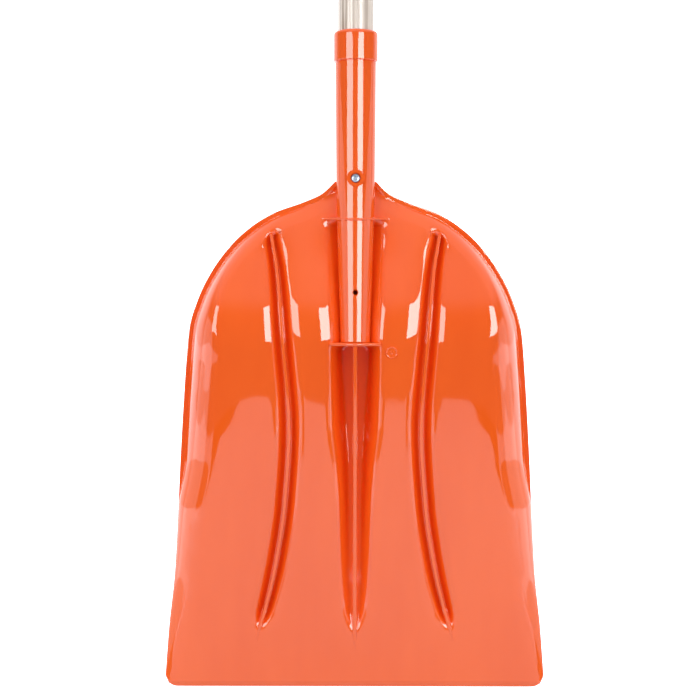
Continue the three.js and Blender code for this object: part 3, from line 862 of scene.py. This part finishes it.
def zinc_material(bright):
    """Zinc-plated steel: bluish, lightly mottled and brushed by the driver."""
    material = bpy.data.materials.new("zinc_plated_steel")
    material.use_nodes = True
    tree = material.node_tree
    tree.nodes.clear()

    output = tree.nodes.new("ShaderNodeOutputMaterial")
    output.label = "Screw surface"
    shader = tree.nodes.new("ShaderNodeBsdfPrincipled")
    shader.label = "Plated steel"
    place = tree.nodes.new("ShaderNodeTexCoord")
    place.label = "Place on the screw"
    mottle = tree.nodes.new("ShaderNodeTexNoise")
    mottle.label = "Mottle of the plating"
    tint = tree.nodes.new("ShaderNodeValToRGB")
    tint.label = "Blue and bright zinc"
    scratches = tree.nodes.new("ShaderNodeTexNoise")
    scratches.label = "Driver scratches"
    rough = tree.nodes.new("ShaderNodeMapRange")
    rough.label = "Satin to bright"
    bump = tree.nodes.new("ShaderNodeBump")
    bump.label = "Scratches and pits"

    colour_frame = tree.nodes.new("NodeFrame")
    colour_frame.label = "Colour"
    wear_frame = tree.nodes.new("NodeFrame")
    wear_frame.label = "Wear"
    for node in (mottle, tint):
        node.parent = colour_frame
    for node in (scratches, rough, bump):
        node.parent = wear_frame

    output.location = (700, 0)
    shader.location = (450, 0)
    place.location = (-500, 0)
    mottle.location = (-300, 200)
    tint.location = (-50, 200)
    scratches.location = (-300, -200)
    rough.location = (-50, -100)
    bump.location = (200, -300)

    mottle.inputs["Scale"].default_value = 900.0
    mottle.inputs["Detail"].default_value = 3.0
    tint.color_ramp.elements[0].position = 0.35
    tint.color_ramp.elements[0].color = (*[0.72 * c for c in bright], 1.0)
    tint.color_ramp.elements[1].position = 0.65
    tint.color_ramp.elements[1].color = (*bright, 1.0)
    scratches.inputs["Scale"].default_value = 2600.0
    scratches.inputs["Detail"].default_value = 2.0
    rough.inputs["To Min"].default_value = 0.22
    rough.inputs["To Max"].default_value = 0.42
    bump.inputs["Strength"].default_value = 0.4
    bump.inputs["Distance"].default_value = 0.00002
    shader.inputs["Metallic"].default_value = 1.0

    tree.links.new(place.outputs["Object"], mottle.inputs["Vector"])
    tree.links.new(mottle.outputs["Fac"], tint.inputs["Fac"])
    tree.links.new(tint.outputs["Color"], shader.inputs["Base Color"])
    tree.links.new(place.outputs["Object"], scratches.inputs["Vector"])
    tree.links.new(scratches.outputs["Fac"], rough.inputs["Value"])
    tree.links.new(rough.outputs["Result"], shader.inputs["Roughness"])
    tree.links.new(scratches.outputs["Fac"], bump.inputs["Height"])
    tree.links.new(bump.outputs["Normal"], shader.inputs["Normal"])
    tree.links.new(shader.outputs["BSDF"], output.inputs["Surface"])
    return material


def floor_material(colour, glow, back_glow):
    """Pale paint that gives off light as painted light, more of it behind; in front it is painted
    near-black beside a runner and gives no glow there.
    """
    material = bpy.data.materials.new("pale_floor")
    material.use_nodes = True
    tree = material.node_tree
    tree.nodes.clear()

    output = tree.nodes.new("ShaderNodeOutputMaterial")
    output.label = "Floor"
    # Pale paint with an emission glow: the glow is painted light, not a lamp.
    shader = tree.nodes.new("ShaderNodeBsdfPrincipled")
    shader.label = "Matt pale paint"
    place = tree.nodes.new("ShaderNodeTexCoord")
    place.label = "Place on the floor"
    mottle = tree.nodes.new("ShaderNodeTexNoise")
    mottle.label = "Faint mottle"
    tint = tree.nodes.new("ShaderNodeValToRGB")
    tint.label = "Two near whites"
    paint = tree.nodes.new("ShaderNodeMix")
    paint.label = "Dark beside the runner"
    split = tree.nodes.new("ShaderNodeSeparateXYZ")
    split.label = "Across and along"
    aside = tree.nodes.new("ShaderNodeMath")
    aside.label = "Distance from the middle"
    width = tree.nodes.new("ShaderNodeMath")
    width.label = "Runner's half width"
    runner = tree.nodes.new("ShaderNodeMath")
    runner.label = "On the runner"
    near = tree.nodes.new("ShaderNodeMath")
    near.label = "Around or behind the shovel"
    outer = tree.nodes.new("ShaderNodeMath")
    outer.label = "Far to the side"
    sides = tree.nodes.new("ShaderNodeMath")
    sides.label = "Around, behind or aside"
    pale = tree.nodes.new("ShaderNodeMath")
    pale.label = "On a pale part"
    rise = tree.nodes.new("ShaderNodeMapRange")
    rise.label = "Brighter towards the back"
    strength = tree.nodes.new("ShaderNodeMath")
    strength.label = "Glow"

    colour_frame = tree.nodes.new("NodeFrame")
    colour_frame.label = "Colour"
    place_frame = tree.nodes.new("NodeFrame")
    place_frame.label = "Pale and dark parts"
    glow_frame = tree.nodes.new("NodeFrame")
    glow_frame.label = "Glow"
    for node in (mottle, tint, paint):
        node.parent = colour_frame
    for node in (split, aside, width, runner, near, outer, sides, pale):
        node.parent = place_frame
    for node in (rise, strength):
        node.parent = glow_frame

    output.location = (700, 0)
    shader.location = (450, 0)
    paint.location = (200, 120)
    place.location = (-900, 0)
    mottle.location = (-500, 260)
    tint.location = (-250, 260)
    split.location = (-700, -150)
    aside.location = (-500, -60)
    width.location = (-500, -230)
    runner.location = (-300, -60)
    near.location = (-300, -230)
    outer.location = (-500, -420)
    sides.location = (-190, -230)
    pale.location = (0, -120)
    rise.location = (-300, -400)
    strength.location = (200, -250)

    mottle.inputs["Scale"].default_value = 3.0
    tint.color_ramp.elements[0].color = (*[0.97 * c for c in colour], 1.0)
    tint.color_ramp.elements[1].color = (*colour, 1.0)
    shader.inputs["Roughness"].default_value = 0.9
    shader.inputs["Specular IOR Level"].default_value = 0.1
    shader.inputs["Emission Color"].default_value = (1.0, 1.0, 1.0, 1.0)
    paint.data_type = "RGBA"
    # In front, beside the runner, the floor is painted near-black and its painted glow is switched off.
    paint.inputs["A"].default_value = (0.03, 0.03, 0.03, 1.0)
    aside.operation = "ABSOLUTE"
    width.operation = "MULTIPLY_ADD"
    width.inputs[1].default_value = 0.20
    width.inputs[2].default_value = 0.96
    runner.operation = "LESS_THAN"
    near.operation = "GREATER_THAN"
    near.inputs[1].default_value = -2.1
    outer.operation = "GREATER_THAN"
    outer.inputs[1].default_value = 0.9
    sides.operation = "MAXIMUM"
    pale.operation = "MAXIMUM"
    rise.interpolation_type = "SMOOTHSTEP"
    rise.inputs["From Min"].default_value = -0.15
    rise.inputs["From Max"].default_value = 0.15
    rise.inputs["To Min"].default_value = glow
    rise.inputs["To Max"].default_value = back_glow
    strength.operation = "MULTIPLY"

    tree.links.new(place.outputs["Object"], mottle.inputs["Vector"])
    tree.links.new(mottle.outputs["Fac"], tint.inputs["Fac"])
    tree.links.new(place.outputs["Object"], split.inputs["Vector"])
    tree.links.new(split.outputs["X"], aside.inputs[0])
    tree.links.new(split.outputs["Y"], width.inputs[0])
    tree.links.new(aside.outputs["Value"], runner.inputs[0])
    tree.links.new(width.outputs["Value"], runner.inputs[1])
    tree.links.new(split.outputs["Y"], near.inputs[0])
    tree.links.new(runner.outputs["Value"], pale.inputs[0])
    tree.links.new(aside.outputs["Value"], outer.inputs[0])
    tree.links.new(near.outputs["Value"], sides.inputs[0])
    tree.links.new(outer.outputs["Value"], sides.inputs[1])
    tree.links.new(sides.outputs["Value"], pale.inputs[1])
    tree.links.new(split.outputs["Y"], rise.inputs["Value"])
    tree.links.new(rise.outputs["Result"], strength.inputs[0])
    tree.links.new(pale.outputs["Value"], strength.inputs[1])
    tree.links.new(pale.outputs["Value"], paint.inputs["Factor"])
    tree.links.new(tint.outputs["Color"], paint.inputs["B"])
    tree.links.new(paint.outputs["Result"], shader.inputs["Base Color"])
    tree.links.new(strength.outputs["Value"], shader.inputs["Emission Strength"])
    tree.links.new(shader.outputs["BSDF"], output.inputs["Surface"])
    return material


def studio_world():
    """The studio's walls, grey in front and white behind, with a pale ceiling."""
    world = bpy.data.worlds.new("studio")
    world.use_nodes = True
    tree = world.node_tree
    tree.nodes.clear()

    output = tree.nodes.new("ShaderNodeOutputWorld")
    output.label = "Studio"
    light = tree.nodes.new("ShaderNodeBackground")
    light.label = "Walls"
    place = tree.nodes.new("ShaderNodeTexCoord")
    place.label = "Direction"
    split = tree.nodes.new("ShaderNodeSeparateXYZ")
    split.label = "Front or back"
    ramp = tree.nodes.new("ShaderNodeValToRGB")
    ramp.label = "Grey front wall, white back wall"
    lower = tree.nodes.new("ShaderNodeMath")
    lower.label = "Darker towards the ceiling"
    shift = tree.nodes.new("ShaderNodeMapRange")
    shift.label = "From front to back"
    height = tree.nodes.new("ShaderNodeMapRange")
    height.label = "Towards the ceiling"
    ceiling = tree.nodes.new("ShaderNodeMix")
    ceiling.label = "Pale ceiling"

    wall_frame = tree.nodes.new("NodeFrame")
    wall_frame.label = "Walls"
    ceiling_frame = tree.nodes.new("NodeFrame")
    ceiling_frame.label = "Ceiling"
    for node in (lower, shift, ramp):
        node.parent = wall_frame
    for node in (height, ceiling):
        node.parent = ceiling_frame

    output.location = (600, 0)
    light.location = (400, 0)
    ceiling.location = (200, 0)
    ramp.location = (-100, 0)
    height.location = (-100, -260)
    shift.location = (-300, 0)
    lower.location = (-500, 0)
    split.location = (-700, 0)
    place.location = (-900, 0)

    height.interpolation_type = "SMOOTHSTEP"
    height.inputs["From Min"].default_value = 0.28
    height.inputs["From Max"].default_value = 0.64
    ceiling.data_type = "RGBA"
    ceiling.inputs["B"].default_value = (1.35, 1.35, 1.45, 1.0)
    lower.operation = "MULTIPLY_ADD"
    lower.inputs[1].default_value = -0.5
    shift.inputs["From Min"].default_value = -1.0
    ramp.color_ramp.elements[0].position = 0.585
    ramp.color_ramp.elements[0].color = (0.26, 0.26, 0.28, 1.0)
    ramp.color_ramp.elements[1].position = 0.75
    ramp.color_ramp.elements[1].color = (1.7, 1.7, 1.75, 1.0)

    tree.links.new(place.outputs["Generated"], split.inputs["Vector"])
    tree.links.new(split.outputs["Z"], lower.inputs[0])
    tree.links.new(split.outputs["Y"], lower.inputs[2])
    tree.links.new(lower.outputs["Value"], shift.inputs["Value"])
    tree.links.new(shift.outputs["Result"], ramp.inputs["Fac"])
    tree.links.new(split.outputs["Z"], height.inputs["Value"])
    tree.links.new(height.outputs["Result"], ceiling.inputs["Factor"])
    tree.links.new(ramp.outputs["Color"], ceiling.inputs["A"])
    tree.links.new(ceiling.outputs["Result"], light.inputs["Color"])
    tree.links.new(light.outputs["Background"], output.inputs["Surface"])
    return world


def studio_light(name, place, size, radiance, aim, shine):
    """A soft rectangular studio light facing a point: it makes either the highlights or the fill."""
    data = bpy.data.lights.new(name, "AREA")
    data.shape = "RECTANGLE"
    data.size, data.size_y = size
    data.energy = radiance * math.pi * size[0] * size[1]
    light = bpy.data.objects.new(name, data)
    light.location = place
    light.visible_glossy = shine
    light.visible_diffuse = not shine
    light.rotation_euler = (Vector(aim) - Vector(place)).to_track_quat("-Z", "Y").to_euler()
    bpy.context.scene.collection.objects.link(light)
    return light


class ShovelFinishes(bpy.types.PropertyGroup):
    orange: FloatVectorProperty(
        name="Blade colour", description="Colour of the moulded plastic", subtype="COLOR",
        default=(0.90, 0.118, 0.010), min=0, max=1,
    )
    deep_orange: FloatVectorProperty(
        name="Blade flow marks", description="Deeper shade of the flow marks", subtype="COLOR",
        default=(0.86, 0.104, 0.008), min=0, max=1,
    )
    ash: FloatVectorProperty(
        name="Ash", description="Colour of the pale wood", subtype="COLOR",
        default=(0.79, 0.70, 0.59), min=0, max=1,
    )
    streak: FloatVectorProperty(
        name="Streaks", description="Colour of the darker grain", subtype="COLOR",
        default=(0.27, 0.18, 0.12), min=0, max=1,
    )
    zinc: FloatVectorProperty(
        name="Zinc", description="Colour of the plated screw", subtype="COLOR",
        default=(0.28, 0.33, 0.40), min=0, max=1,
    )


class ShovelSizes(bpy.types.PropertyGroup):
    central_rib: FloatProperty(
        name="Central rib", description="Thickness of the central rib", default=0.0035, unit="LENGTH",
    )
    side_rib: FloatProperty(
        name="Side ribs", description="Thickness of the ribs in the grooves", default=0.0030, unit="LENGTH",
    )
    thread_turns: IntProperty(
        name="Thread turns", description="Turns of the screw's thread", default=9, min=1, max=12,
    )


class ShovelStudio(bpy.types.PropertyGroup):
    distance: FloatProperty(
        name="Camera distance", description="From the blade's flat floor", default=2.8, unit="LENGTH",
    )
    view_width: FloatProperty(
        name="View width", description="Width seen at the blade", default=0.7050, unit="LENGTH",
    )
    pitch: FloatProperty(
        name="Camera pitch", description="How far the camera looks down", subtype="ANGLE",
        default=math.radians(5),
    )
    roll: FloatProperty(
        name="Camera roll", description="Lean of the camera", subtype="ANGLE", default=math.radians(0.12),
    )
    aim: FloatVectorProperty(
        name="Aim", description="What the camera looks at", subtype="XYZ", unit="LENGTH",
        default=(-0.0053, 0.0, 0.3435),
    )


class SHOVEL_OT_blade(bpy.types.Operator):
    """Make the moulded blade with its socket, ribs and fins"""

    bl_idname = "shovel.blade"
    bl_label = "Blade"

    def execute(self, context):
        sizes = context.scene.shovel_sizes
        finishes = context.scene.shovel_finishes
        orange = plastic_material(finishes.orange, finishes.deep_orange)
        blade = build_sheet()
        socket = build_socket()
        parts = [
            rib(lambda z: 0.0, *CENTRE_RIB, sizes.central_rib, "central_rib"),
            rib(lambda z: along(GROOVE_CENTRE, z), *SIDE_RIB, sizes.side_rib, "right_rib"),
            rib(lambda z: -along(GROOVE_CENTRE, z), *SIDE_RIB, sizes.side_rib, "left_rib"),
            fin(UPPER_FIN, 0.0026, 0.035, 0.012, "upper_fin"),
            fin(LOWER_FIN, 0.0036, 0.026, 0.008, "lower_fin"),
            gate_mark(),
        ]
        join_or_cut(blade, parts, "UNION")
        join_or_cut(blade, [socket_core()], "DIFFERENCE")
        join_or_cut(blade, [socket], "UNION")
        blade.data.shade_smooth()
        blade.data.set_sharp_from_angle(angle=math.radians(38))
        ride_and_finish(blade, ["blade"], orange)
        return {"FINISHED"}


class SHOVEL_OT_handle(bpy.types.Operator):
    """Make the ash handle with its tapered seat and domed end"""

    bl_idname = "shovel.handle"
    bl_label = "Handle"

    def execute(self, context):
        finishes = context.scene.shovel_finishes
        end = HANDLE_START + HANDLE_LENGTH
        seat = [(radius, distance) for distance, radius in HANDLE_SEAT]
        shoulder = end - HANDLE_DOME
        shaft = [(HANDLE_RADIUS, lerp(HANDLE_SEAT[-1][0], shoulder, k / 24)) for k in range(1, 25)]
        top = [
            (HANDLE_RADIUS * math.cos(a), shoulder + HANDLE_DOME * math.sin(a))
            for a in [math.pi / 2 * k / 14 for k in range(1, 14)]
        ]
        profile = [(0.0, HANDLE_START), (0.012, HANDLE_START)] + seat + shaft + top + [(0.0, end)]
        handle = turned(profile, 96, "handle")
        pilot = crossing(0.0025, SCREW_AT, -0.025, 0.010, "pilot")
        join_or_cut(handle, [pilot], "DIFFERENCE")
        handle.data.shade_smooth()
        handle.data.set_sharp_from_angle(angle=math.radians(35))
        ride_and_finish(handle, ["handle"], wood_material(finishes.ash, finishes.streak))
        return {"FINISHED"}


class SHOVEL_OT_screw(bpy.types.Operator):
    """Make the cross-recessed screw that holds the handle in the socket"""

    bl_idname = "shovel.screw"
    bl_label = "Socket screw"

    def execute(self, context):
        sizes = context.scene.shovel_sizes
        finishes = context.scene.shovel_finishes
        head, height, core, crest, pitch = 0.0044, 0.0023, 0.0016, 0.0022, 0.002
        angles = [math.pi / 2 * k / 10 for k in range(11)]
        dome = [(head * math.sin(a), height * (0.45 + 0.55 * math.cos(a))) for a in angles]
        profile = dome + [(head, 0.0002), (head - 0.0002, 0.0), (core, 0.0)]
        for turn in range(sizes.thread_turns):
            start = 0.0034 + pitch * turn
            profile += [(core, -start), (crest, -start - 0.0008)]
            profile += [(crest, -start - 0.0010), (core, -start - 0.0018)]
        profile += [(core, -0.0234), (0.0, -0.0260)]
        seat = -along(SOCKET_RADIUS, SCREW_AT) - BOSS_PROUD + 0.0027
        place = SOCKET_FRAME @ Matrix.Translation((0, seat, SCREW_AT))
        place @= Matrix.Rotation(math.pi / 2, 4, "X")
        screw = lathed(profile, 64, place, "socket_screw", angle=35)
        cutters = []
        turn_to = math.radians(22)
        for name, angle, width, length, depth in (
            ("slot_a", 0.0, 0.0016, 0.0058, 0.0021), ("slot_b", 90.0, 0.0016, 0.0058, 0.0021),
            ("tick_a", 45.0, 0.0004, 0.0042, 0.0007), ("tick_b", 135.0, 0.0004, 0.0042, 0.0007),
        ):
            bm = bmesh.new()
            spin = Matrix.Rotation(math.radians(angle) + turn_to, 4, "Z")
            size = Matrix.Diagonal((length, width, 2 * depth, 1.0))
            lift = Matrix.Translation((0, 0, height))
            bmesh.ops.create_cube(bm, size=1.0, matrix=place @ lift @ spin @ size)
            cutters.append(finished(bm, name))
        join_or_cut(screw, cutters, "DIFFERENCE")
        screw.data.shade_smooth()
        screw.data.set_sharp_from_angle(angle=math.radians(35))
        ride_and_finish(screw, ["socket_screw"], zinc_material(finishes.zinc))
        return {"FINISHED"}


class SHOVEL_OT_studio(bpy.types.Operator):
    """Make the floor, the studio lights and the camera"""

    bl_idname = "shovel.studio"
    bl_label = "Studio"

    def execute(self, context):
        scene = context.scene
        studio = scene.shovel_studio

        bm = bmesh.new()
        place = Matrix.Translation((0, 5.2, -0.0005))
        bmesh.ops.create_grid(bm, x_segments=2, y_segments=2, size=8.0, matrix=place)
        floor = finished(bm, "floor")
        floor.data.materials.append(floor_material((0.80, 0.84, 0.90), 0.88, 1.3))
        # The floor's glow is painted light; the blade meets it only in reflections, not as diffuse light.
        floor.visible_diffuse = False

        scene.world = studio_world()

        studio_light("left_strip", (-1.262, -1.802, 0.955), (1.43, 0.91), 10.0, (0, 0, 0.955), True)
        studio_light("right_strip", (1.033, -1.942, 0.955), (1.26, 0.91), 15.0, (0, 0, 0.955), True)
        studio_light("left_wall", (-2.3, -0.5, 0.45), (2.4, 0.9), 1.6, (0, -0.5, 0.45), True)
        studio_light("right_wall", (2.3, -0.5, 0.45), (2.4, 0.9), 1.6, (0, -0.5, 0.45), True)
        studio_light("left_fill", (-1.8, -1.7, 0.35), (1.5, 0.8), 6.5, (0, 0, 0.35), False)
        studio_light("right_fill", (1.8, -1.7, 0.35), (1.5, 0.8), 6.5, (0, 0, 0.35), False)

        data = bpy.data.cameras.new("camera")
        data.sensor_width = 36.0
        data.lens = data.sensor_width * studio.distance / studio.view_width
        camera = bpy.data.objects.new("camera", data)
        back = Vector((0.0, -math.cos(studio.pitch), math.sin(studio.pitch)))
        camera.location = Vector(studio.aim) + back * studio.distance
        look = (-back).to_track_quat("-Z", "Y").to_matrix().to_4x4()
        camera.rotation_euler = (look @ Matrix.Rotation(studio.roll, 4, "Z")).to_euler()
        scene.collection.objects.link(camera)
        scene.camera = camera
        scene.view_settings.view_transform = "Standard"
        return {"FINISHED"}


class SHOVEL_PT_panel(bpy.types.Panel):
    bl_label = "Snow Shovel"
    bl_idname = "SHOVEL_PT_panel"
    bl_space_type = "VIEW_3D"
    bl_region_type = "UI"
    bl_category = "Shovel"

    def draw(self, context):
        scene = context.scene
        for group in (scene.shovel_finishes, scene.shovel_sizes, scene.shovel_studio):
            box = self.layout.box()
            for name in group.bl_rna.properties.keys():
                if name not in ("rna_type", "name"):
                    box.prop(group, name)
        for operator in (SHOVEL_OT_blade, SHOVEL_OT_handle, SHOVEL_OT_screw, SHOVEL_OT_studio):
            self.layout.operator(operator.bl_idname)


CLASSES = (
    ShovelFinishes, ShovelSizes, ShovelStudio, SHOVEL_OT_blade, SHOVEL_OT_handle,
    SHOVEL_OT_screw, SHOVEL_OT_studio, SHOVEL_PT_panel,
)


def register():
    for cls in CLASSES:
        bpy.utils.register_class(cls)
    bpy.types.Scene.shovel_finishes = PointerProperty(type=ShovelFinishes)
    bpy.types.Scene.shovel_sizes = PointerProperty(type=ShovelSizes)
    bpy.types.Scene.shovel_studio = PointerProperty(type=ShovelStudio)


def unregister():
    del bpy.types.Scene.shovel_studio
    del bpy.types.Scene.shovel_sizes
    del bpy.types.Scene.shovel_finishes
    for cls in reversed(CLASSES):
        bpy.utils.unregister_class(cls)


def main():
    register()
    bpy.ops.shovel.blade()
    bpy.ops.shovel.handle()
    bpy.ops.shovel.screw()
    bpy.ops.shovel.studio()
    bpy.context.view_layer.update()


if __name__ == "__main__":
    main()
